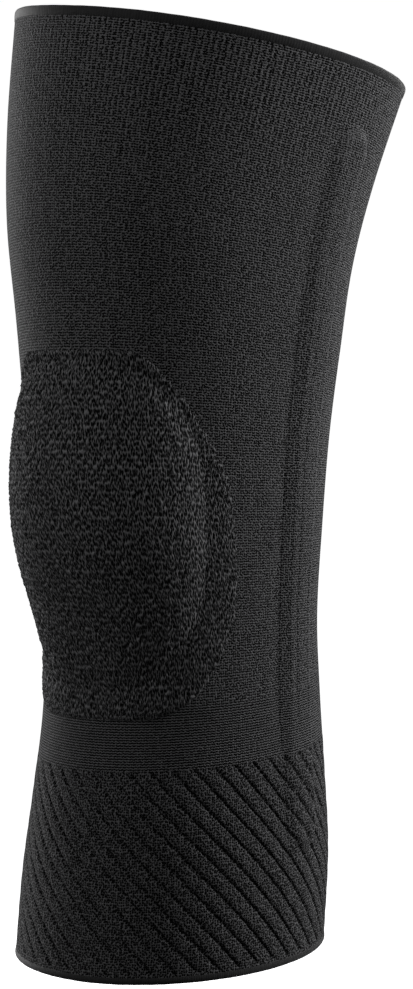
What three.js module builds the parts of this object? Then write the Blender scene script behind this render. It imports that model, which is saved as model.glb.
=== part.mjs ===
// Knitted knee sleeve as it sits on a slightly bent leg, in millimetres with +Z up.
// The kneecap faces -Y and the wearer's outer side is +X. The origin is the middle of the leg, level with the
// middle of the kneecap. Heights called "rise" are measured up the leg from the calf edge, and angles go round
// the leg in degrees from the front towards the outer side.
import * as THREE from "three";

// Driving dimensions
const SLEEVE_LENGTH = 320.6; // calf edge to thigh edge, up the middle of the leg
const BELOW_KNEE = 153.4; // calf edge to the middle of the kneecap
const KNEE_WIDTH = 100; // across the knee, outside the knit
const KNEE_DEPTH = 106; // kneecap to hollow of the knee, outside the knit, without the pad
const WALL = 2; // thickness of the knit
const SEAM_GAP = 0.3; // left between pieces that touch
const LAID_GAP = 0.5; // the same under pieces laid on the round of the leg, whose facets cut its corners

const THIGH_LIFT = 2.5; // how far the thigh edge runs up at its inner front corner
const THIGH_LIFT_ANGLE = -55; // where round the leg it is highest
const LIFT_POWER = 6; // how closely that lift keeps to its place

const THIGH_HEM_HEIGHT = 3.8;
const CALF_HEM_HEIGHT = 2.8;
const HEM_PROUD = 0.3; // how far a folded hem stands out from the knit, on each side

const CUFF_TOP = 74; // rise of the course where the slanted ribs end
const RIB_COUNT = 45;
const RIB_DEPTH = 0.9;
const RIB_CREST = 0.66; // share of the pitch that the flat crest takes
const RIB_START = 0.075; // share of the pitch from the front to the first crest, at the cuff's top
const RIB_TWIST = 68; // degrees that a rib turns round the leg over the cuff

const PANEL_THICKNESS = 1.2;
const PANEL_EDGE = 0.6; // thickness of the panel where it meets the plain knit
const PANEL_WIDTH = 134; // degrees round the leg
const PANEL_ABOVE = 55; // middle of the kneecap to the panel's top course
const PANEL_BELOW = 64;

const PAD_HEIGHT = 9.2; // how far the cushion rounds out where it is fullest
const PAD_LOW_HEIGHT = 4; // and what it would be at its lower end
const PAD_FULLEST = 0.58; // share of the way up the cushion to its fullest place
const PAD_EDGE = 0.8;
const PAD_WIDTH = 106; // degrees round the leg
const PAD_ABOVE = 51;
const PAD_BELOW = 54;
const PAD_SQUARENESS = 0.75; // 1 is an oval and less is squarer
const PAD_FLATNESS = 2.8; // powers of the cushion's profile: how flat it is in the middle
const PAD_SHOULDER = 0.9; // and how round its edge falls

const STAY_WIDTH = 20;
const STAY_THICKNESS = 1.5;
const STAY_EDGE = 0.5;
const STAY_ANGLE = 98; // from the front to the middle of each stay
const STAY_BOTTOM = 38; // rise of the stays' lower ends
const STAY_TOP = 298; // rise of the stays' upper ends

// Facets
const ROUND_STEPS = 60;
const BODY_STEPS = 16;
const BODY_INSIDE_STEPS = 10;
const CUFF_STEPS = 6;
const CUFF_INSIDE_STEPS = 3;
const HEM_ARC_STEPS = 2;
const SPOKES = 48;
const PAD_RINGS = 6;
const BORDER_RINGS = 2; // rings of the panel outside the pad
const STAY_STEPS = 24;
const STAY_END_STEPS = 4;

// Sections of the leg from the calf edge up. at is a share of SLEEVE_LENGTH, outer and inner are shares of half
// the KNEE_WIDTH, front, back and shift (of the middle, backwards) are shares of half the KNEE_DEPTH, and lean
// (front up) and tilt (outer side up) are the slopes of the knit's courses in degrees.
const SECTIONS = [
  { at: 0.0, outer: 1.02, inner: 1.18, front: 1.01, back: 1.03, shift: -0.03, lean: -2, tilt: 2.3 },
  { at: 0.1, outer: 1.03, inner: 1.13, front: 1.0, back: 1.04, shift: 0.0, lean: -2.5, tilt: 2.7 },
  { at: 0.19, outer: 1.0, inner: 1.03, front: 0.97, back: 1.0, shift: 0.01, lean: -2.5, tilt: 3 },
  { at: 0.28, outer: 0.96, inner: 0.965, front: 0.91, back: 0.96, shift: 0.02, lean: -1, tilt: 3.5 },
  { at: 0.37, outer: 0.96, inner: 0.93, front: 0.91, back: 0.93, shift: 0.01, lean: 3, tilt: 4.4 },
  { at: 0.475, outer: 1.0, inner: 1.0, front: 1.02, back: 0.97, shift: 0.0, lean: 6, tilt: 5.2 },
  { at: 0.58, outer: 1.045, inner: 1.035, front: 1.05, back: 1.02, shift: 0.0, lean: 9.5, tilt: 5.6 },
  { at: 0.68, outer: 1.1, inner: 1.11, front: 1.12, back: 1.065, shift: 0.03, lean: 12.7, tilt: 5 },
  { at: 0.78, outer: 1.16, inner: 1.2, front: 1.22, back: 1.1, shift: 0.08, lean: 14.5, tilt: 4 },
  { at: 0.88, outer: 1.24, inner: 1.27, front: 1.26, back: 1.18, shift: 0.17, lean: 16, tilt: 2.5 },
  { at: 1.0, outer: 1.365, inner: 1.32, front: 1.28, back: 1.31, shift: 0.31, lean: 16.7, tilt: 1.4 },
];

// Edge of the kneecap panel: half widths as shares of half the PANEL_WIDTH, going down. Heights are shares of
// PANEL_ABOVE above the middle of the kneecap, and of PANEL_BELOW under it.
const PANEL_EDGE_ROWS = [
  { height: 1.0, half: 0.37 },
  { height: 0.94, half: 0.48 },
  { height: 0.76, half: 0.65 },
  { height: 0.53, half: 0.8 },
  { height: 0.25, half: 0.94 },
  { height: -0.04, half: 0.99 },
  { height: -0.34, half: 1.0 },
  { height: -0.56, half: 0.95 },
  { height: -0.75, half: 0.84 },
  { height: -0.91, half: 0.67 },
  { height: -1.0, half: 0.4 },
];

const rad = THREE.MathUtils.degToRad;

// A Catmull-Rom value of one column of a table at a place between its rows.
function fromTable(rows, key, column, place) {
  const last = rows.length - 1;
  let i = rows.findIndex((row) => row[key] > place) - 1;
  if (i < 0) i = place < rows[0][key] ? 0 : last - 1;
  const row = (n) => rows[THREE.MathUtils.clamp(n, 0, last)];
  const span = row(i + 1)[key] - row(i)[key];
  const slope = (n) => {
    const run = row(n + 1)[key] - row(n - 1)[key];
    return ((row(n + 1)[column] - row(n - 1)[column]) / run) * span;
  };
  const t = (place - row(i)[key]) / span;
  const [a, b] = [row(i)[column], row(i + 1)[column]];
  const [m, n] = [slope(i), slope(i + 1)];
  return (
    a * (1 + 2 * t) * (1 - t) ** 2 +
    m * t * (1 - t) ** 2 +
    b * t * t * (3 - 2 * t) +
    n * t * t * (t - 1)
  );
}

// The point of the leg's surface at an angle and a rise, moved outwards by offset.
function onLeg(angle, rise, offset) {
  const at = rise / SLEEVE_LENGTH;
  const size = (column) => fromTable(SECTIONS, "at", column, at);
  const [across, ahead] = [Math.sin(rad(angle)), Math.cos(rad(angle))];
  const halfWidth = (size(across > 0 ? "outer" : "inner") * KNEE_WIDTH) / 2;
  const halfDepth = (size(ahead > 0 ? "front" : "back") * KNEE_DEPTH) / 2;
  const x = (halfWidth + offset) * across;
  const y = (size("shift") * KNEE_DEPTH) / 2 - (halfDepth + offset) * ahead;
  const toward = Math.max(0, Math.cos(rad(angle - THIGH_LIFT_ANGLE)) * Math.max(0, at));
  const lift = THIGH_LIFT * toward ** LIFT_POWER;
  const z = rise - BELOW_KNEE - y * Math.tan(rad(size("lean"))) + x * Math.tan(rad(size("tilt")));
  return new THREE.Vector3(x, y, z + lift);
}

// A closed body through a row of rings with equal counts of points. It joins the last ring to the first, as round
// a tube's wall, or closes each end with a fan. Each four-sided facet is cut along its shorter diagonal.
function loft(rings, capped) {
  const count = rings[0].length;
  const points = rings.flat();
  const faces = [];
  const bands = capped ? rings.length - 1 : rings.length;
  for (let i = 0; i < bands; i++) {
    const next = (i + 1) % rings.length;
    for (let j = 0; j < count; j++) {
      const k = (j + 1) % count;
      const [a, b] = [i * count + j, i * count + k];
      const [c, d] = [next * count + k, next * count + j];
      const cutsAcross = points[a].distanceTo(points[c]) < points[b].distanceTo(points[d]);
      faces.push(...(cutsAcross ? [a, b, c, a, c, d] : [a, b, d, b, c, d]));
    }
  }
  if (capped) {
    for (const [ring, first] of [
      [rings[0], true],
      [rings.at(-1), false],
    ]) {
      const start = first ? 0 : (rings.length - 1) * count;
      const middle = points.length;
      points.push(ring.reduce((sum, p) => sum.add(p), new THREE.Vector3()).divideScalar(count));
      for (let j = 0; j < count; j++) {
        const k = (j + 1) % count;
        if (first) faces.push(start + k, start + j, middle);
        else faces.push(start + j, start + k, middle);
      }
    }
  }
  const geometry = new THREE.BufferGeometry().setFromPoints(points);
  geometry.setIndex(faces);
  geometry.computeVertexNormals();
  return geometry;
}

const steps = (count, from, to) =>
  Array.from({ length: count + 1 }, (_, i) => THREE.MathUtils.lerp(from, to, i / count));

const roundTheLeg = (rise, offset) =>
  steps(ROUND_STEPS, 0, 360)
    .slice(0, -1)
    .map((angle) => onLeg(angle, rise, offset));

// The plain knit from the cuff to the thigh hem.
function knitBody() {
  const [bottom, top] = [CUFF_TOP + SEAM_GAP, SLEEVE_LENGTH - THIGH_HEM_HEIGHT - SEAM_GAP];
  const outside = steps(BODY_STEPS, bottom, top).map((rise) => roundTheLeg(rise, 0));
  const inside = steps(BODY_INSIDE_STEPS, bottom, top).map((rise) => roundTheLeg(rise, -WALL));
  return loft([...outside, ...inside.reverse()], false);
}

// The cuff's ribs run up and forwards, so its columns of points turn with them. Each rib has three: the two sides of
// its crest and the bottom of the groove beside it.
function ribCuff() {
  const pitch = 360 / RIB_COUNT;
  const bottom = CALF_HEM_HEIGHT + SEAM_GAP;
  const ring = (rise, groove, offset) => {
    const turn = RIB_TWIST * (1 - (rise - bottom) / (CUFF_TOP - bottom));
    return Array.from({ length: RIB_COUNT }, (_, i) => [
      onLeg((i + RIB_START) * pitch + turn, rise, offset),
      onLeg((i + RIB_START + RIB_CREST) * pitch + turn, rise, offset),
      onLeg((i + RIB_START + (1 + RIB_CREST) / 2) * pitch + turn, rise, offset - groove),
    ]).flat();
  };
  const outside = steps(CUFF_STEPS, bottom, CUFF_TOP).map((rise) => ring(rise, RIB_DEPTH, 0));
  const inside = steps(CUFF_INSIDE_STEPS, bottom, CUFF_TOP).map((rise) => ring(rise, 0, -WALL));
  return loft([...outside, ...inside.reverse()], false);
}

// A folded hem: a flat edge against the knit at rise seat, and a round fold at rise edge.
function hem(seat, edge) {
  const radius = WALL / 2 + HEM_PROUD;
  const up = Math.sign(edge - seat);
  const fold = steps(2 * HEM_ARC_STEPS, 0, 180).map((turn) => ({
    rise: edge - up * radius * (1 - Math.sin(rad(turn))),
    offset: radius * Math.cos(rad(turn)) - WALL / 2,
  }));
  const profile = [
    { rise: seat, offset: HEM_PROUD },
    ...fold,
    { rise: seat, offset: -WALL - HEM_PROUD },
  ];
  if (up < 0) profile.reverse();
  return loft(
    profile.map(({ rise, offset }) => roundTheLeg(rise, offset)),
    false,
  );
}

// Edges of the pad and of the panel, from the top course towards the outer side and round. The pad is an oval with
// squared shoulders. The panel is flat along its top and bottom for the first turns.
function padEdge(turn) {
  const squared = (value) => Math.sign(value) * Math.abs(value) ** PAD_SQUARENESS;
  const reach = squared(Math.cos(rad(turn)));
  return {
    angle: (squared(Math.sin(rad(turn))) * PAD_WIDTH) / 2,
    height: reach * (reach > 0 ? PAD_ABOVE : PAD_BELOW),
  };
}

function panelEdge(turn) {
  const flatTurns = rad(14);
  const reach = THREE.MathUtils.clamp(Math.cos(rad(turn)) / Math.cos(flatTurns), -1, 1);
  const across = THREE.MathUtils.clamp(Math.sin(rad(turn)) / Math.sin(flatTurns), -1, 1);
  const half = fromTable(PANEL_EDGE_ROWS.toReversed(), "height", "half", reach);
  return {
    angle: (across * half * PANEL_WIDTH) / 2,
    height: reach * (reach > 0 ? PANEL_ABOVE : PANEL_BELOW),
  };
}

// As many places as there are spokes, at even distances along an edge.
function spokeEnds(edge) {
  const fine = steps(40 * SPOKES, 0, 360).map(edge);
  const reached = [0];
  for (let i = 1; i < fine.length; i++) {
    const across = (rad(fine[i].angle - fine[i - 1].angle) * KNEE_WIDTH) / 2;
    reached.push(reached[i - 1] + Math.hypot(across, fine[i].height - fine[i - 1].height));
  }
  const ends = steps(SPOKES, 0, reached.at(-1)).slice(0, -1);
  return ends.map((end) => fine[reached.findIndex((length) => length >= end)]);
}

const padEnds = spokeEnds(padEdge);
const panelEnds = spokeEnds(panelEdge);
const kneeRise = (height) => BELOW_KNEE + height;
const between = (from, to, share) => ({
  angle: THREE.MathUtils.lerp(from.angle, to.angle, share),
  height: THREE.MathUtils.lerp(from.height, to.height, share),
});
const padMiddle = { angle: 0, height: (PAD_ABOVE - PAD_BELOW) / 2 };

// Height of the cushion over the knit, for a share of the way from its middle to its edge.
function crown(share, height) {
  const up = (height + PAD_BELOW) / (PAD_ABOVE + PAD_BELOW);
  const fall = ((up - PAD_FULLEST) / PAD_FULLEST) ** 2;
  const peak = THREE.MathUtils.lerp(PAD_HEIGHT, PAD_LOW_HEIGHT, fall);
  return PAD_EDGE + (peak - PAD_EDGE) * (1 - share ** PAD_FLATNESS) ** PAD_SHOULDER;
}

// A ring on the leg, lifted by lift over the cushion's crown at a share of the way to the cushion's edge.
const ringOnPad = (places, share, lift) =>
  places.map(({ angle, height }) => onLeg(angle, kneeRise(height), lift + crown(share, height)));

const ringOnLeg = (places, offset) =>
  places.map(({ angle, height }) => onLeg(angle, kneeRise(height), offset));

const padShares = steps(PAD_RINGS, 0, 1).slice(1);

// The cushion that rounds out the front of the knee, under the panel.
function kneecapPad() {
  const places = (share) => padEnds.map((end) => between(padMiddle, end, share));
  const top = padShares.map((share) => ringOnPad(places(share), share, LAID_GAP));
  const bottom = padShares.map((share) => ringOnLeg(places(share), LAID_GAP));
  return loft([...top, ...bottom.reverse()], true);
}

// The thick looped knit that covers the cushion and runs out onto the plain knit around it.
function kneecapPanel() {
  const under = LAID_GAP + SEAM_GAP;
  const inside = [];
  const outside = [];
  for (const share of padShares) {
    const places = padEnds.map((end) => between(padMiddle, end, share));
    inside.push(ringOnPad(places, share, under));
    outside.push(ringOnPad(places, share, under + PANEL_THICKNESS));
  }
  for (const share of steps(BORDER_RINGS, 0, 1).slice(1)) {
    const places = padEnds.map((end, i) => between(end, panelEnds[i], share));
    const thickness = THREE.MathUtils.lerp(PANEL_THICKNESS, PANEL_EDGE, share);
    inside.push(ringOnLeg(places, LAID_GAP));
    outside.push(ringOnLeg(places, LAID_GAP + thickness));
  }
  return loft([...outside, ...inside.reverse()], true);
}

// A flat stay in its knitted tunnel, up one side of the leg. side is 1 for the outer side and -1 for the inner.
function stayTunnel(side) {
  const radius = STAY_WIDTH / 2;
  const ends = steps(STAY_END_STEPS, 0, 80).map((turn) => radius * (1 - Math.sin(rad(turn))));
  const inner = steps(STAY_STEPS, STAY_BOTTOM + radius, STAY_TOP - radius).slice(1, -1);
  const rises = [
    ...[...ends].reverse().map((inset) => STAY_BOTTOM + inset),
    ...inner,
    ...ends.map((inset) => STAY_TOP - inset),
  ];
  const section = (rise) => {
    const inset = Math.max(0, STAY_BOTTOM + radius - rise, rise - STAY_TOP + radius);
    const half = Math.sqrt(radius ** 2 - inset ** 2);
    const girth = onLeg(STAY_ANGLE, rise, 0).setZ(0).length();
    const place = (share, offset) => {
      const angle = STAY_ANGLE + THREE.MathUtils.radToDeg((share * half) / girth);
      return onLeg(side * angle, rise, offset);
    };
    const under = [-1, -0.35, 0.35, 1].map((share) => place(share, LAID_GAP));
    const over = [
      place(1, LAID_GAP + STAY_EDGE),
      place(0.7, LAID_GAP + STAY_THICKNESS),
      place(0, LAID_GAP + STAY_THICKNESS),
      place(-0.7, LAID_GAP + STAY_THICKNESS),
      place(-1, LAID_GAP + STAY_EDGE),
    ];
    const ring = [...under, ...over];
    return side < 0 ? ring : ring.reverse();
  };
  return loft(rises.map(section), true);
}

const knit = new THREE.MeshStandardMaterial({ color: 0x2b2b2c, roughness: 0.92, metalness: 0 });
const looped = new THREE.MeshStandardMaterial({ color: 0x242425, roughness: 1, metalness: 0 });
const folded = new THREE.MeshStandardMaterial({ color: 0x1d1d1f, roughness: 0.75, metalness: 0 });
const foam = new THREE.MeshStandardMaterial({ color: 0x303032, roughness: 0.8, metalness: 0 });

const sleeve = new THREE.Group();
for (const [name, geometry, material] of [
  ["thigh_hem", hem(SLEEVE_LENGTH - THIGH_HEM_HEIGHT, SLEEVE_LENGTH), folded],
  ["knit_body", knitBody(), knit],
  ["rib_cuff", ribCuff(), knit],
  ["calf_hem", hem(CALF_HEM_HEIGHT, 0), folded],
  ["kneecap_pad", kneecapPad(), foam],
  ["kneecap_panel", kneecapPanel(), looped],
  ["outer_stay_tunnel", stayTunnel(1), knit],
  ["inner_stay_tunnel", stayTunnel(-1), knit],
]) {
  const mesh = new THREE.Mesh(geometry, material);
  mesh.name = name;
  sleeve.add(mesh);
}

export default sleeve;
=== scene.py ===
"""Looks of the knitted knee sleeve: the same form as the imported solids, at the fineness of the knit."""
import math

import bpy
import numpy as np
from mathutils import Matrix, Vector


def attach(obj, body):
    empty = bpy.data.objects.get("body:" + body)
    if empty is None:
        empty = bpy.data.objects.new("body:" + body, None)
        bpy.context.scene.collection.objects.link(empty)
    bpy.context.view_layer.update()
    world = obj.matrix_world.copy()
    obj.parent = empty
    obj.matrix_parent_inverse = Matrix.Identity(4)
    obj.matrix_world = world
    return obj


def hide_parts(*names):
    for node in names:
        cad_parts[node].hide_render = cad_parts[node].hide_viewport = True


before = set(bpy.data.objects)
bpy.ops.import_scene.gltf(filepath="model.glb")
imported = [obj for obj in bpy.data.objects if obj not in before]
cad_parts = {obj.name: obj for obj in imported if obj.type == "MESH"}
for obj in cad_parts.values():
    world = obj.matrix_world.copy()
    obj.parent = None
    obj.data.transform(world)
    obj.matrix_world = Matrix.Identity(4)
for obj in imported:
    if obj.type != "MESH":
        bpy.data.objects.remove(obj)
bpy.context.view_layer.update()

# Sizes in millimetres and degrees, the same as in the part's source
SLEEVE_LENGTH = 320.6
BELOW_KNEE = 153.4
KNEE_WIDTH = 100
KNEE_DEPTH = 106
WALL = 2.0
THIGH_LIFT = 2.5  # how far the thigh edge runs up at its inner front corner
THIGH_LIFT_ANGLE = -55
LIFT_POWER = 6  # how closely that lift keeps to its place
THIGH_HEM_HEIGHT = 3.8
CALF_HEM_HEIGHT = 2.8
CUFF_TOP = 74
RIB_COUNT = 45
RIB_TWIST = 68
PANEL_WIDTH = 134
PANEL_ABOVE = 55
PANEL_BELOW = 64
PAD_HEIGHT = 9.2
PAD_LOW_HEIGHT = 4.0
PAD_FULLEST = 0.58
PAD_WIDTH = 106
PAD_ABOVE = 51
PAD_BELOW = 54
PAD_SQUARENESS = 0.75  # 1 is an oval and less is squarer
PAD_FLATNESS = 2.8  # powers of the cushion's profile: how flat it is in the middle
PAD_SHOULDER = 0.9  # and how round its edge falls
STAY_WIDTH = 20
STAY_ANGLE = 98  # from the front to the middle of each stay
STAY_BOTTOM = 38
STAY_TOP = 298

# Sections of the leg: share of the length, then outer, inner, front, back and shift, then lean and tilt
SECTIONS = np.array([
    (0.0, 1.02, 1.18, 1.01, 1.03, -0.03, -2, 2.3),
    (0.1, 1.03, 1.13, 1.0, 1.04, 0.0, -2.5, 2.7),
    (0.19, 1.0, 1.03, 0.97, 1.0, 0.01, -2.5, 3),
    (0.28, 0.96, 0.965, 0.91, 0.96, 0.02, -1, 3.5),
    (0.37, 0.96, 0.93, 0.91, 0.93, 0.01, 3, 4.4),
    (0.475, 1.0, 1.0, 1.02, 0.97, 0.0, 6, 5.2),
    (0.58, 1.045, 1.035, 1.05, 1.02, 0.0, 9.5, 5.6),
    (0.68, 1.1, 1.11, 1.12, 1.065, 0.03, 12.7, 5),
    (0.78, 1.16, 1.2, 1.22, 1.1, 0.08, 14.5, 4),
    (0.88, 1.24, 1.27, 1.26, 1.18, 0.17, 16, 2.5),
    (1.0, 1.365, 1.32, 1.28, 1.31, 0.31, 16.7, 1.4),
])

# Edge of the kneecap panel: share of the height above or below the knee, then share of half the width
PANEL_EDGE_ROWS = np.array([
    (-1.0, 0.4), (-0.91, 0.67), (-0.75, 0.84), (-0.56, 0.95), (-0.34, 1.0), (-0.04, 0.99),
    (0.25, 0.94), (0.53, 0.8), (0.76, 0.65), (0.94, 0.48), (1.0, 0.37),
])

# The knit, which only the looks have. Lengths are in millimetres.
WALES = 396  # stitches round the leg
COURSE = 0.87  # height of one row of stitches
BAND_MIDDLE = CUFF_TOP + 10  # rise of the band over the cuff where the courses show most
BAND_REACH = 12.0  # courses of it each way
PULLED_COURSE = 211.6  # rise of the pulled course above the kneecap
PULLED_COURSE_WIDTH = 0.6
HEM_LAP = 0.5  # how far the tube runs into a hem
WALES_FADE_IN = SLEEVE_LENGTH - 65  # rises between which the upright lines under the thigh hem set in
WALES_FULL = SLEEVE_LENGTH - 20
RIB_BOTTOM = 3.1  # rise of the ribs' lower ends
RIB_DEPTH = 0.6
RIB_GROOVE = 0.905  # share of the pitch from the front to the first groove, at the cuff's top
RIB_GROOVE_WIDTH = 0.085  # share of the pitch
RIB_SPREAD = 0.13  # share by which the ribs are wider near the front and narrower near the back
STAY_RISE = 1.8  # how far the knit stands out over a stay
STAY_LINES = (-6.2, -2.2, 4.0)  # places of the fine lines along a stay, across from its middle
STAY_LINE_WIDTH = 0.55
STAY_LINE_DEPTH = 0.22
FRONT_CREASE = 0.4  # depths of the creases along a stay's edges
BACK_CREASE = 0.2
RIDGE_GROWS = (60, 110)  # rises between which a stay's ridge grows to its full height
EDGE_SETS_IN = (60, 120)  # the same for the painted highlight along its back edge
LINES_SET_IN = (70, 100)  # for the fine lines along it
LINES_FADE = (215, 250)
CREASES_SET_IN = (62, 90)  # and for the creases
CREASES_FADE = (230, 290)
LAID_DEPTH = 0.9  # how far a laid piece's hidden underside lies inside the tube's wall
CROWN_RIM = 0.1  # share of the cushion's swell that keeps its height almost to the edge
CROWN_RIM_FALLS = (0.88, 1.0)  # shares of the way to the edge between which it falls
LOOP_PITCH_ROUND = 1.05
LOOP_PITCH_UP = 1.6
LOOP_REACH = 1.6  # how far from its middle a loop is drawn
LOOP_STRAY = 0.35  # share of the pitch that a loop strays from its place, each way
LOOP_HEIGHT = 0.95
LOOPED_THICKNESS = 0.8  # of the panel under its loops

# The camera, with lengths in metres. The knee's middle falls on KNEE_PIXEL in the photograph's frame.
CAMERA_AZIMUTH = 40
CAMERA_ELEVATION = 9
CAMERA_DISTANCE = 1.9
SENSOR_WIDTH = 36  # millimetres
MM_PER_PIXEL = 0.35
FRAME = (413, 989)
KNEE_PIXEL = (178, 520)

LIGHT_SIZE = 0.5
WORLD_LIGHT = 0.02

# The lights: azimuth from the camera's, elevation and watts
LIGHTS = [
    ("right_key", 90, 15, 13.8),
    ("right_rim", 140, 15, 7.5),
    ("left_rim", -140, 4, 14),
    ("left_side", -90, 15, 2.5),
    ("front_fill", -35, 17, 2.2),
    ("top_fill", -15, 60, 2.0),
]

randoms = np.random.default_rng(7)


def from_table(rows, column, place):
    """Catmull-Rom values of one column at places between the rows."""
    at = rows[:, 0]
    values = rows[:, column]
    last = len(at) - 1
    i = np.clip(np.searchsorted(at, place, side="right") - 1, 0, last - 1)
    span = at[i + 1] - at[i]
    before, after = np.maximum(i - 1, 0), np.minimum(i + 2, last)
    first = (values[i + 1] - values[before]) / (at[i + 1] - at[before]) * span
    second = (values[after] - values[i]) / (at[after] - at[i]) * span
    t = (place - at[i]) / span
    return (
        values[i] * (1 + 2 * t) * (1 - t) ** 2
        + first * t * (1 - t) ** 2
        + values[i + 1] * t * t * (3 - 2 * t)
        + second * t * t * (t - 1)
    )


def on_leg(angle, rise, offset):
    """Points of the leg's surface, in metres. The offsets, in millimetres, move them outwards."""
    at = rise / SLEEVE_LENGTH
    size = [from_table(SECTIONS, column, at) for column in range(1, 8)]
    outer, inner, front, back, shift, lean, tilt = size
    across, ahead = np.sin(np.radians(angle)), np.cos(np.radians(angle))
    half_width = np.where(across > 0, outer, inner) * KNEE_WIDTH / 2
    half_depth = np.where(ahead > 0, front, back) * KNEE_DEPTH / 2
    x = (half_width + offset) * across
    y = shift * KNEE_DEPTH / 2 - (half_depth + offset) * ahead
    toward = np.maximum(0, np.cos(np.radians(angle - THIGH_LIFT_ANGLE)))
    lift = THIGH_LIFT * toward ** LIFT_POWER * np.maximum(0, at) ** LIFT_POWER
    z = rise - BELOW_KNEE - y * np.tan(np.radians(lean)) + x * np.tan(np.radians(tilt)) + lift
    return np.stack([x, y, z], axis=-1) / 1000


def smooth(low, high, value):
    """Runs from 0 at low to 1 at high, without a corner."""
    t = np.clip((value - low) / (high - low), 0, 1)
    return t * t * (3 - 2 * t)


def bell(share):
    """1 in the middle, falling off smoothly on both sides."""
    return np.exp(-(share ** 2))


# Relief of the knit, in millimetres


def side_radius(rise):
    """Radius of the leg's outer side."""
    return 0.5 * KNEE_WIDTH * from_table(SECTIONS, 1, rise / SLEEVE_LENGTH)


def stay_distance(angle, rise):
    """Distance from the middle line of the nearer stay, as a share of its half width, round its ends too."""
    folded = np.abs((angle + 180) % 360 - 180)
    across = np.radians(folded - STAY_ANGLE) * side_radius(rise)
    radius = STAY_WIDTH / 2
    beyond = np.maximum(0, np.maximum(STAY_BOTTOM + radius - rise, rise - STAY_TOP + radius))
    return np.hypot(across, beyond) / radius, across


def stay_ridge(angle, rise):
    """The channel stands out over the flat stay, higher at its back edge, with fine lines in it."""
    distance, across = stay_distance(angle, rise)
    ridge = STAY_RISE * (1 - smooth(0.5, 1.0, distance))
    lean = 1 + 0.2 * np.clip(across / (STAY_WIDTH / 2), -1, 1)
    stitched = np.zeros_like(across)
    for line in STAY_LINES:
        stitched += bell((across - line) / STAY_LINE_WIDTH)
    stitched *= smooth(*LINES_SET_IN, rise) * (1 - smooth(*LINES_FADE, rise))
    fade = 0.75 + 0.25 * smooth(*RIDGE_GROWS, rise)
    return ridge * lean * fade - STAY_LINE_DEPTH * stitched, stitched


def stay_edge_highlight(angle, rise):
    """Painted highlight along the stay's back edge and over its round upper end, from 0 to 1."""
    distance, across = stay_distance(angle, rise)
    rounded = smooth(STAY_TOP - STAY_WIDTH, STAY_TOP - STAY_WIDTH / 2, rise)
    fade = 0.15 + 0.85 * smooth(*EDGE_SETS_IN, rise)
    return bell((distance - 0.6) / 0.22) * np.maximum(smooth(-1, 2, across), rounded) * fade


def stay_groove(angle, rise):
    """A crease runs along the stay's front edge and a lighter one along its back."""
    distance, across = stay_distance(angle, rise)
    depth = bell((distance - 1.05) / 0.2) * np.where(across < 0, FRONT_CREASE, BACK_CREASE)
    return -depth * smooth(*CREASES_SET_IN, rise) * (1 - 0.6 * smooth(*CREASES_FADE, rise))


def rib_turn(rise):
    """Degrees that a rib has turned round the leg, down from the cuff's top."""
    return RIB_TWIST * (1 - (rise - RIB_BOTTOM) / (CUFF_TOP - RIB_BOTTOM))


def rib_groove(angle, rise):
    """How deep in a groove between two ribs a place lies, from 0 to 1, and a wave, -1 on a crest."""
    spread = math.degrees(RIB_SPREAD) * (1 - np.sin(np.radians(angle + 15)))
    place = (angle + spread - rib_turn(rise)) / 360 * RIB_COUNT - RIB_GROOVE
    from_groove = np.abs(place - np.round(place))
    inside = smooth(CUFF_TOP, CUFF_TOP - 1.2, rise) * smooth(RIB_BOTTOM - 0.4, RIB_BOTTOM + 1.2, rise)
    return bell(from_groove / RIB_GROOVE_WIDTH) * inside, np.cos(place * 2 * math.pi) * inside


def rib_relief(angle, rise):
    """Ribs of the cuff: flat crests with narrow grooves that turn round the leg."""
    groove, wave = rib_groove(angle, rise)
    return -0.1 * wave - RIB_DEPTH * groove


def course_line(rise):
    """One pulled course runs round above the kneecap."""
    return bell((rise - PULLED_COURSE) / PULLED_COURSE_WIDTH)


def tube_relief(angle, rise):
    """What the tube's outer face stands out or in by."""
    return stay_groove(angle, rise) + rib_relief(angle, rise) - 0.12 * course_line(rise)


def tube_shade(angle, rise):
    """How much darker the knit is painted: painted shade in the cuff's rib grooves and in the creases along
    the stays, and a darker line along the pulled course.
    """
    groove, _ = rib_groove(angle, rise)
    # Painted shade of the rib grooves, weaker towards the leg's inner side and stronger towards its outer
    # side.
    groove *= 0.55 + 0.2 * np.sin(np.radians(angle))
    return groove - 0.5 * stay_groove(angle, rise) + 0.35 * course_line(rise)


# Meshes


def grid_piece(name, angle, rise, offset, shade, material, node):
    """A ring of mesh from a grid of places, closed both ways. The last column repeats the first."""
    points = on_leg(angle, rise, offset)
    rows, columns = angle.shape[0], angle.shape[1] - 1
    vertices = points[:, :columns].reshape(-1, 3)
    i, j = np.meshgrid(np.arange(rows), np.arange(columns), indexing="ij")
    i, j = i.ravel(), j.ravel()
    k, m = (i + 1) % rows, (j + 1) % columns
    quads = np.stack([i * columns + j, i * columns + m, k * columns + m, k * columns + j], axis=-1)
    u = angle / 360 * WALES
    v = rise / COURSE
    corners = [(i, j), (i, j + 1), (k, j + 1), (k, j)]
    uv = np.stack([np.stack([u[a, b], v[a, b]], axis=-1) for a, b in corners], axis=1)
    make_piece(name, vertices, quads, uv, shade[:, :columns], material, node)


def make_piece(name, vertices, quads, uv, shade, material, node):
    """A smooth mesh object that stands for one of the part's solids."""
    mesh = bpy.data.meshes.new(name)
    mesh.from_pydata(vertices.tolist(), [], quads.tolist())
    layer = mesh.uv_layers.new(name="knit")
    layer.data.foreach_set("uv", uv.reshape(-1))
    # The shade attribute: painted shade where it is above nought, painted highlight where it is below.
    marks = mesh.attributes.new("shade", "FLOAT", "POINT")
    marks.data.foreach_set("value", shade.reshape(-1))
    mesh.polygons.foreach_set("use_smooth", np.ones(len(mesh.polygons), dtype=bool))
    mesh.materials.append(material)
    mesh.update()
    piece = bpy.data.objects.new(name, mesh)
    bpy.context.scene.collection.objects.link(piece)
    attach(piece, "root")
    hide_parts(node)
    return piece


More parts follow.
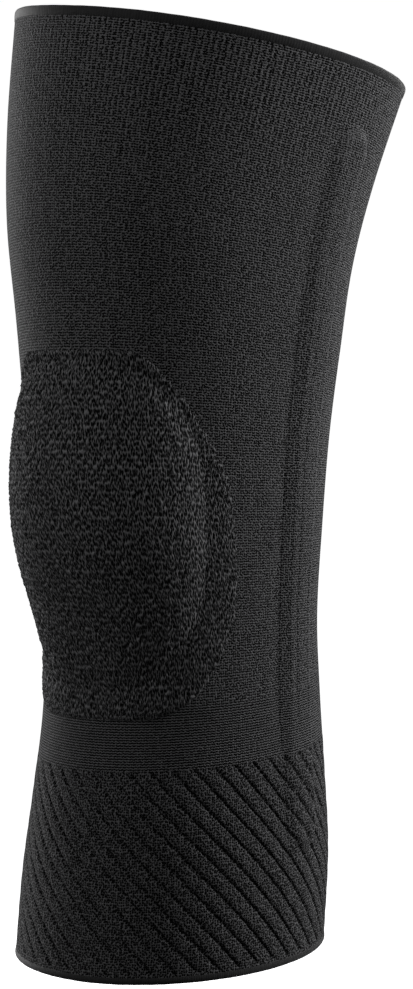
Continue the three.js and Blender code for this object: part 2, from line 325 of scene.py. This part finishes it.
def between_rims(low, high, count):
    """Rises of a tube's rows, with one close to each end, so that the smooth shading turns sharply there."""
    return np.concatenate([[low], np.linspace(low + 0.06, high - 0.06, count), [high]])


def tube_faces(angle, rise, outside_rows):
    """Relief and shade of a length of tube: the knit's on its outer rows, none on the inner face."""
    offset, shade = tube_relief(angle, rise), tube_shade(angle, rise)
    offset[outside_rows:] = -WALL
    shade[outside_rows:] = 0
    return offset, shade


def body(material):
    """The plain tube from the cuff's top into the thigh hem."""
    columns, low, high = 720, CUFF_TOP, SLEEVE_LENGTH - THIGH_HEM_HEIGHT + HEM_LAP
    outside = between_rims(low, high, 110)
    inside = np.linspace(high, low, 20)
    angle, rise = np.meshgrid(np.linspace(0, 360, columns + 1), np.concatenate([outside, inside]))
    offset, shade = tube_faces(angle, rise, len(outside))
    grid_piece("plain_knit_tube", angle, rise, offset, shade, material, "knit_body")


def cuff(material):
    """The ribbed cuff. Its columns follow the ribs and lie closest in the grooves."""
    low, high = CALF_HEM_HEIGHT - HEM_LAP, CUFF_TOP
    outside = between_rims(low, high, 70)
    inside = np.linspace(high, low, 8)
    beside = [0, 0.03, 0.06, 0.09, 0.13, 0.19, 0.27, 0.38]
    places = np.array([-0.5] + [-place for place in beside[:0:-1]] + beside)
    columns = (np.arange(RIB_COUNT)[:, None] + RIB_GROOVE + places).ravel() * 360 / RIB_COUNT
    angle, rise = np.meshgrid(np.append(columns, columns[0] + 360), np.concatenate([outside, inside]))
    angle = angle + rib_turn(rise)
    offset, shade = tube_faces(angle, rise, len(outside))
    grid_piece("ribbed_calf_cuff", angle, rise, offset, shade, material, "rib_cuff")


def hem(name, seat, edge, material, node):
    """A folded edge: a flattened roll that is pulled in where it is sewn to the knit."""
    columns = 480
    rough, fine = 0.02, 0.015
    up = math.copysign(1, edge - seat)
    height = abs(edge - seat)
    radius = WALL / 2 + 0.25
    fold = np.linspace(0, math.pi, 13)
    rises = [-0.7, -0.25, 0.1, 0.45, height * 0.5]
    offsets = [-0.6, -0.45, -0.1, 0.18, 0.27]
    rises += list(height - radius * (1 - np.sin(fold)))
    offsets += list(radius * np.cos(fold) - WALL / 2)
    rises += [height * 0.45, 0.35, -0.6]
    offsets += [-WALL - 0.25, -WALL - 0.2, -WALL + 0.3]
    profile = list(zip(rises, offsets))
    if up < 0:
        profile.reverse()
    line = np.array(profile)
    angle, _ = np.meshgrid(np.linspace(0, 360, columns + 1), line[:, 0])
    uneven = rough * np.sin(np.radians(angle) * 23) + fine * np.sin(np.radians(angle) * 57 + 1)
    rise = seat + up * (line[:, :1] + uneven * (line[:, :1] > 0))
    offset = line[:, 1:] + 0 * angle
    grid_piece(name, angle, rise, offset, 0 * angle, material, node)


def patch_piece(name, angle, rise, top, bottom, shade, material, node):
    """A closed mesh from a grid of places with an upper and a lower face."""
    rows, columns = angle.shape
    upper = on_leg(angle, rise, top).reshape(-1, 3)
    lower = on_leg(angle, rise, bottom).reshape(-1, 3)
    count = rows * columns
    i, j = np.meshgrid(np.arange(rows - 1), np.arange(columns - 1), indexing="ij")
    i, j = i.ravel(), j.ravel()
    a, b = i * columns + j, i * columns + j + 1
    c, d = b + columns, a + columns
    faces = [np.stack([a, b, c, d], axis=-1), np.stack([d, c, b, a], axis=-1) + count]
    ring = np.concatenate([
        np.arange(columns - 1),
        np.arange(rows - 1) * columns + columns - 1,
        (rows - 1) * columns + np.arange(columns - 1, 0, -1),
        np.arange(rows - 1, 0, -1) * columns,
    ])
    after = np.roll(ring, -1)
    faces.append(np.stack([ring + count, after + count, after, ring], axis=-1))
    quads = np.concatenate(faces)
    place = np.stack([angle / 360 * WALES, rise / COURSE], axis=-1).reshape(-1, 2)
    uv = np.concatenate([place, place])[quads]
    shades = np.concatenate([shade, shade])
    return make_piece(name, np.concatenate([upper, lower]), quads, uv, shades, material, node)


def stay(name, side, material, node):
    """The knit channel over a stay. Its rim runs under the tube's own surface, so that it shows no edge."""
    radius = STAY_WIDTH / 2 * 1.02
    rises = np.linspace(STAY_BOTTOM, STAY_TOP, 420)
    shares = np.linspace(-1, 1, 49)
    middle, share = np.meshgrid(rises, shares, indexing="ij")
    inset = np.clip(np.maximum(STAY_BOTTOM + radius - middle, middle - STAY_TOP + radius), 0, radius * 0.995)
    half = np.sqrt(radius ** 2 - inset ** 2)
    angle = STAY_ANGLE + np.degrees(share * half / side_radius(middle))
    relief = rib_relief(side * angle, middle)
    ridge, stitched = stay_ridge(side * angle, middle)
    top = relief + ridge
    # Darker along the stay's fine stitched lines, and painted shade in the rib grooves where the stay
    # crosses the cuff.
    shade = 0.25 * stitched + rib_groove(side * angle, middle)[0]
    # Painted highlight: the knit is lightened along the stay's back edge and round its upper end.
    shade -= 0.5 * stay_edge_highlight(side * angle, middle)
    rim = smooth(0.9, 1.0, np.maximum(np.abs(share), 1 - half / radius + 0 * share))
    top = top - 0.5 * rim
    bottom = np.minimum(relief, 0) - LAID_DEPTH
    if side < 0:
        angle, middle = -angle[:, ::-1], middle[:, ::-1]
        top, bottom, shade = top[:, ::-1], bottom[:, ::-1], shade[:, ::-1]
    patch_piece(name, angle, middle, top, bottom, shade, material, node)


def pad_share(angle, height):
    """How far a place lies from the middle of the cushion, as a share of the way to its edge."""
    middle = (PAD_ABOVE - PAD_BELOW) / 2
    half = (PAD_ABOVE + PAD_BELOW) / 2
    power = 2 / PAD_SQUARENESS
    across = np.abs(angle) / (PAD_WIDTH / 2)
    along = np.abs(height - middle) / half
    return (across ** power + along ** power) ** (1 / power)


def crown(angle, height):
    """How far the cushion swells the panel out."""
    share = np.clip(pad_share(angle, height), 0, 1)
    up = (height + PAD_BELOW) / (PAD_ABOVE + PAD_BELOW)
    fall = ((up - PAD_FULLEST) / PAD_FULLEST) ** 2
    peak = PAD_HEIGHT + (PAD_LOW_HEIGHT - PAD_HEIGHT) * fall
    dome = (1 - share ** PAD_FLATNESS) ** PAD_SHOULDER
    return peak * ((1 - CROWN_RIM) * dome + CROWN_RIM * (1 - smooth(*CROWN_RIM_FALLS, share)))


def loop_field(width, height, step):
    """Height map of the looped knit: short plump ridges, mostly upright, packed closely and unevenly."""
    columns, rows = int(width / step), int(height / step)
    field = np.zeros((rows, columns))
    reach = int(LOOP_REACH / step)
    dy, dx = np.mgrid[-reach:reach + 1, -reach:reach + 1] * step
    for row in range(int(height / LOOP_PITCH_UP)):
        for column in range(int(width / LOOP_PITCH_ROUND)):
            x = (column + 0.5 * (row % 2) + randoms.uniform(-LOOP_STRAY, LOOP_STRAY)) * LOOP_PITCH_ROUND
            y = (row + randoms.uniform(-LOOP_STRAY, LOOP_STRAY)) * LOOP_PITCH_UP
            slant = randoms.normal(0.25, 0.3)
            long, wide = randoms.uniform(0.75, 1.15), randoms.uniform(0.34, 0.46)
            along = dy * math.cos(slant) + dx * math.sin(slant)
            across = dx * math.cos(slant) - dy * math.sin(slant)
            bump = randoms.uniform(0.6, 1.0) * np.exp(-((along / long) ** 2) - (across / wide) ** 2)
            ci, ri = int(x / step), int(y / step)
            x0, x1 = max(0, ci - reach), min(columns, ci + reach + 1)
            y0, y1 = max(0, ri - reach), min(rows, ri + reach + 1)
            if x0 < x1 and y0 < y1:
                part = bump[y0 - ri + reach:y1 - ri + reach, x0 - ci + reach:x1 - ci + reach]
                field[y0:y1, x0:x1] = np.maximum(field[y0:y1, x0:x1], part)
    return field


def sample(field, x, y, step):
    """Values of a height map at places between its points."""
    rows, columns = field.shape
    cx = np.clip(x / step, 0, columns - 1.001)
    cy = np.clip(y / step, 0, rows - 1.001)
    i, j = cy.astype(int), cx.astype(int)
    s, t = cy - i, cx - j
    return (
        field[i, j] * (1 - s) * (1 - t)
        + field[i, j + 1] * (1 - s) * t
        + field[i + 1, j] * s * (1 - t)
        + field[i + 1, j + 1] * s * t
    )


def panel(material):
    """The looped knit over the cushion. Its thickness runs out to nothing at an uneven edge."""
    share, reach = np.meshgrid(np.linspace(-1, 1, 226), np.linspace(-1, 1, 208))
    half = from_table(PANEL_EDGE_ROWS, 1, reach)
    angle = share * half * PANEL_WIDTH / 2
    height = np.where(reach > 0, reach * PANEL_ABOVE, reach * PANEL_BELOW)
    across = np.radians(angle) * KNEE_WIDTH / 2
    side = (1 - np.abs(share)) * np.radians(half * PANEL_WIDTH / 2) * KNEE_WIDTH / 2
    end = np.minimum(PANEL_ABOVE - height, height + PANEL_BELOW)
    inward = np.minimum(side * 0.85, end)
    field_width, field_height, step = 140, 130, 0.25
    field = loop_field(field_width, field_height, step)
    loops = sample(field, across + field_width / 2, height + PANEL_BELOW + 2, step)
    thick = smooth(-0.3, 2.6, inward + 1.6 * (loops - 0.5))
    raised = LOOP_HEIGHT * loops * smooth(0.2, 2.2, inward)
    top = -0.45 + thick * LOOPED_THICKNESS + crown(angle, height) + raised
    bottom = np.full_like(top, -LAID_DEPTH)
    rise = BELOW_KNEE + height
    name = "looped_kneecap_panel"
    # The shade given here is painted shade in the hollows between the loops.
    patch_piece(name, angle, rise, top, bottom, 1 - loops, material, "kneecap_panel")


def cushion(material):
    """The cushion under the panel, inside its swell."""
    share, reach = np.meshgrid(np.linspace(-1, 1, 61), np.linspace(-1, 1, 61))
    within = 0.97
    power = 2 / PAD_SQUARENESS
    half = (1 - np.abs(reach * 0.985) ** power) ** (1 / power)
    angle = share * half * PAD_WIDTH / 2 * within
    height = (PAD_ABOVE - PAD_BELOW) / 2 + reach * (PAD_ABOVE + PAD_BELOW) / 2 * within
    top = 0.15 + np.maximum(0, 0.93 * crown(angle, height) - 0.35)
    bottom = np.full_like(top, 0.05)
    rise = BELOW_KNEE + height
    name = "kneecap_cushion"
    piece = patch_piece(name, angle, rise, top, bottom, 0 * angle, material, "kneecap_pad")


# Materials


class Shader:
    """A Principled material with short ways to add its nodes."""

    def __init__(self, name, **values):
        self.material = bpy.data.materials.new(name)
        self.material.use_nodes = True
        self.tree = self.material.node_tree
        self.surface = self.tree.nodes["Principled BSDF"]
        for socket, value in values.items():
            self.surface.inputs[socket.replace("_", " ")].default_value = value

    def node(self, kind, **settings):
        made = self.tree.nodes.new(kind)
        for key, value in settings.items():
            setattr(made, key, value)
        return made

    def link(self, source, socket):
        self.tree.links.new(source, socket)

    def fill(self, node, values):
        """Set each input to its number, or link it to the output given for it."""
        for socket, value in zip(node.inputs, values):
            if isinstance(value, (int, float)):
                socket.default_value = value
            else:
                self.link(value, socket)
        return node.outputs[0]

    def math(self, operation, first, second=0.0, third=0.0):
        return self.fill(self.node("ShaderNodeMath", operation=operation), (first, second, third))

    def place(self):
        """The stitch coordinates: wales round the leg and courses up it."""
        parts = self.node("ShaderNodeSeparateXYZ")
        self.link(self.node("ShaderNodeUVMap", uv_map="knit").outputs[0], parts.inputs[0])
        return parts.outputs[0], parts.outputs[1]

    def shade(self):
        return self.node("ShaderNodeAttribute", attribute_name="shade").outputs["Fac"]

    def join(self, x, y):
        return self.fill(self.node("ShaderNodeCombineXYZ"), (x, y))

    def noise(self, vector, scale, detail=2.0):
        made = self.node("ShaderNodeTexNoise")
        made.inputs["Scale"].default_value = scale
        made.inputs["Detail"].default_value = detail
        self.link(vector, made.inputs["Vector"])
        return made.outputs[0]

    def rising(self, value, low, high):
        """Runs from 0 at low to 1 at high."""
        made = self.node("ShaderNodeMapRange")
        made.inputs["From Min"].default_value = low
        made.inputs["From Max"].default_value = high
        self.link(value, made.inputs["Value"])
        return made.outputs["Result"]

    def cells(self, vector, randomness):
        """One uneven cell for each stitch: the distance from its middle, and a chance value of its own."""
        made = self.node("ShaderNodeTexVoronoi", voronoi_dimensions="2D")
        made.inputs["Scale"].default_value = 1.0
        made.inputs["Randomness"].default_value = randomness
        self.link(vector, made.inputs["Vector"])
        parts = self.node("ShaderNodeSeparateColor")
        self.link(made.outputs["Color"], parts.inputs[0])
        return made.outputs["Distance"], parts.outputs[0]

    def ramp(self, factor, *stops):
        """Greys between stops, each a position and a brightness."""
        made = self.node("ShaderNodeValToRGB")
        while len(made.color_ramp.elements) < len(stops):
            made.color_ramp.elements.new(0.5)
        for element, (position, grey) in zip(made.color_ramp.elements, stops):
            element.position = position
            element.color = (grey, grey, grey * 1.03, 1)
        self.link(factor, made.inputs[0])
        return made.outputs[0]

    def color(self, tones):
        self.link(tones, self.surface.inputs["Base Color"])

    def bump(self, height, distance):
        """Fine relief of the surface, its greatest depth in metres."""
        made = self.node("ShaderNodeBump")
        made.inputs["Strength"].default_value = 1.0
        made.inputs["Distance"].default_value = distance
        self.link(height, made.inputs["Height"])
        self.link(made.outputs[0], self.surface.inputs["Normal"])


def knit_material():
    """Fine plain knit: uneven stitches with dark gaps, in courses that show most over the cuff."""
    s = Shader("plain_black_knit", Roughness=0.85, Sheen_Weight=0.03, Sheen_Roughness=0.5)
    s.surface.inputs["Specular IOR Level"].default_value = 0.03
    u, v = s.place()
    gap, luck = s.cells(s.join(u, v), 0.65)
    streak = s.noise(s.join(s.math("MULTIPLY", u, 0.55), s.math("MULTIPLY", v, 0.05)), 1.0)
    every_other = s.math("COSINE", s.math("MULTIPLY", u, math.pi))
    wobble = s.math("MULTIPLY", every_other, 0.1)
    course = s.math("COSINE", s.math("MULTIPLY", s.math("ADD", v, wobble), 2 * math.pi))
    over_cuff = s.math("GREATER_THAN", v, CUFF_TOP / COURSE)
    in_band = s.math("COMPARE", v, BAND_MIDDLE / COURSE, BAND_REACH)
    clear = s.math("MULTIPLY_ADD", in_band, 0.22, s.math("MULTIPLY", over_cuff, 0.16))
    lined = s.math("MULTIPLY", course, clear)
    stitch = s.math("MULTIPLY_ADD", luck, -0.14, s.math("ADD", gap, lined))
    upright = s.math("MULTIPLY", every_other, s.math("MULTIPLY", streak, 0.26))
    near_hem = s.rising(v, WALES_FADE_IN / COURSE, WALES_FULL / COURSE)
    wales = s.math("MULTIPLY", upright, near_hem)
    # Above the cuff the knit is painted paler: the cuff's darker tone is partly the rib knit's own and
    # partly painted shade of its ribs.
    pale = s.math("MULTIPLY_ADD", over_cuff, 0.04, s.math("ADD", stitch, wales))
    height = s.math("MULTIPLY_ADD", streak, 0.2, pale)
    # Painted shade in the rib grooves and creases darkens the colour, and a painted highlight along the
    # stays' back edges lightens it.
    shaded = s.math("MULTIPLY_ADD", s.shade(), -0.25, height)
    s.color(s.ramp(shaded, (0.23, 0.0001), (0.34, 0.001), (0.45, 0.037), (0.68, 0.076)))
    s.bump(height, 0.0004)
    return s.material


def looped_material():
    """Looped knit: fine fibre with dark gaps over the plump ridges that the mesh has, with painted shade in
    the hollows between them.
    """
    s = Shader("looped_black_knit", Roughness=0.92, Sheen_Weight=0.03, Sheen_Roughness=0.5)
    s.surface.inputs["Specular IOR Level"].default_value = 0.03
    u, v = s.place()
    leaning = s.math("MULTIPLY_ADD", v, 0.2, s.math("MULTIPLY", u, 1.75))
    gap, luck = s.cells(s.join(leaning, s.math("MULTIPLY", v, 0.56)), 0.8)
    fibre = s.math("MULTIPLY_ADD", luck, -0.12, gap)
    # Painted shade darkens the hollows between the loops.
    height = s.math("MULTIPLY_ADD", s.shade(), -0.24, fibre)
    s.color(s.ramp(height, (0.03, 0.0002), (0.13, 0.004), (0.24, 0.046), (0.5, 0.112)))
    s.bump(height, 0.0005)
    return s.material


def hem_material():
    """Smooth folded knit with faint upright ribbing."""
    s = Shader("folded_black_knit", Roughness=0.8, Sheen_Weight=0.12, Sheen_Roughness=0.4)
    s.surface.inputs["Specular IOR Level"].default_value = 0.12
    u, v = s.place()
    wave = s.math("COSINE", s.math("MULTIPLY", u, 2 * math.pi))
    soft = s.noise(s.join(u, s.math("MULTIPLY", v, 0.3)), 0.7, 3.0)
    height = s.math("MULTIPLY_ADD", wave, 0.14, soft)
    s.color(s.ramp(height, (0.1, 0.006), (0.9, 0.017)))
    s.bump(height, 0.00012)
    return s.material


def foam_material():
    """Foam with fine pores."""
    s = Shader("cushion_foam", Roughness=0.9)
    cells = s.noise(s.node("ShaderNodeTexCoord").outputs["Object"], 900.0, 3.0)
    s.color(s.ramp(cells, (0.3, 0.02), (0.7, 0.05)))
    s.bump(cells, 0.0002)
    return s.material


# Studio


def pale_material():
    """The backdrop's pale grey, which gives some light of its own."""
    s = Shader("pale_floor", Roughness=0.9, Emission_Strength=1.0)
    s.surface.inputs["Emission Color"].default_value = (1, 1, 1, 1)
    tone = s.noise(s.node("ShaderNodeTexCoord").outputs["Object"], 3.0)
    s.color(s.ramp(tone, (0.3, 0.84), (0.7, 0.88)))
    return s.material


def floor():
    """A wide pale floor that sweeps up into a backdrop all round, so that a low view sees no edge of it."""
    turns, depth = 48, -0.42
    # Radius and height of each ring, in metres
    rings = [(0.02, 0.0), (8.0, 0.0), (10.0, 0.4), (11.5, 1.8), (12.0, 4.0), (12.0, 9.0)]
    vertices = []
    for radius, height in rings:
        for turn in range(turns):
            a = 2 * math.pi * turn / turns
            vertices.append((radius * math.cos(a), radius * math.sin(a), depth + height))
    faces = [tuple(range(turns))]
    for ring in range(len(rings) - 1):
        for turn in range(turns):
            here, after = ring * turns + turn, ring * turns + (turn + 1) % turns
            faces.append((here, here + turns, after + turns, after))
    mesh = bpy.data.meshes.new("floor")
    mesh.from_pydata(vertices, [], faces)
    mesh.materials.append(pale_material())
    made = bpy.data.objects.new("floor", mesh)
    made.visible_diffuse = False
    made.visible_glossy = False
    bpy.context.scene.collection.objects.link(made)


def direction(azimuth, elevation):
    """Unit vector from the knee. Azimuth 0 is the front and 90 the outer side."""
    a, e = math.radians(azimuth), math.radians(elevation)
    return Vector((math.sin(a) * math.cos(e), -math.cos(a) * math.cos(e), math.sin(e)))


def softbox(name, azimuth, elevation, watts):
    """An area light that faces the knee, a metre away. Azimuth is measured as the camera's is."""
    light = bpy.data.lights.new(name, "AREA")
    light.shape = "SQUARE"
    light.size = LIGHT_SIZE
    light.energy = watts
    made = bpy.data.objects.new(name, light)
    made.location = direction(azimuth, elevation)
    made.rotation_euler = (-direction(azimuth, elevation)).to_track_quat("-Z", "Y").to_euler()
    bpy.context.scene.collection.objects.link(made)


def studio():
    """Soft boxes round the knee and a faint light from all round."""
    for name, azimuth, elevation, watts in LIGHTS:
        softbox(name, CAMERA_AZIMUTH + azimuth, elevation, watts)
    world = bpy.data.worlds.new("studio")
    world.use_nodes = True
    world.node_tree.nodes["Background"].inputs["Color"].default_value = (1, 1, 1, 1)
    world.node_tree.nodes["Background"].inputs["Strength"].default_value = WORLD_LIGHT
    bpy.context.scene.world = world
    bpy.context.scene.view_settings.view_transform = "Standard"


def camera():
    """The photograph's view, aimed so that the knee's middle falls on its pixel."""
    toward = direction(CAMERA_AZIMUTH, CAMERA_ELEVATION)
    right = Vector((math.cos(math.radians(CAMERA_AZIMUTH)), math.sin(math.radians(CAMERA_AZIMUTH)), 0))
    up = toward.cross(right)
    scale = MM_PER_PIXEL / 1000
    aim = right * (FRAME[0] / 2 - KNEE_PIXEL[0]) * scale - up * (FRAME[1] / 2 - KNEE_PIXEL[1]) * scale
    data = bpy.data.cameras.new("camera")
    data.sensor_fit = "AUTO"
    data.sensor_width = SENSOR_WIDTH
    data.lens = CAMERA_DISTANCE / scale / FRAME[1] * SENSOR_WIDTH
    made = bpy.data.objects.new("camera", data)
    made.location = aim + toward * CAMERA_DISTANCE
    made.rotation_euler = (-toward).to_track_quat("-Z", "Y").to_euler()
    bpy.context.scene.collection.objects.link(made)
    bpy.context.scene.camera = made


camera()
studio()
floor()
knit = knit_material()
looped = looped_material()
folded = hem_material()
body(knit)
cuff(knit)
hem("thigh_edge", SLEEVE_LENGTH - THIGH_HEM_HEIGHT, SLEEVE_LENGTH, folded, "thigh_hem")
hem("calf_edge", CALF_HEM_HEIGHT, 0, folded, "calf_hem")
cushion(foam_material())
panel(looped)
stay("outer_stay_channel", 1, knit, "outer_stay_tunnel")
stay("inner_stay_channel", -1, knit, "inner_stay_tunnel")
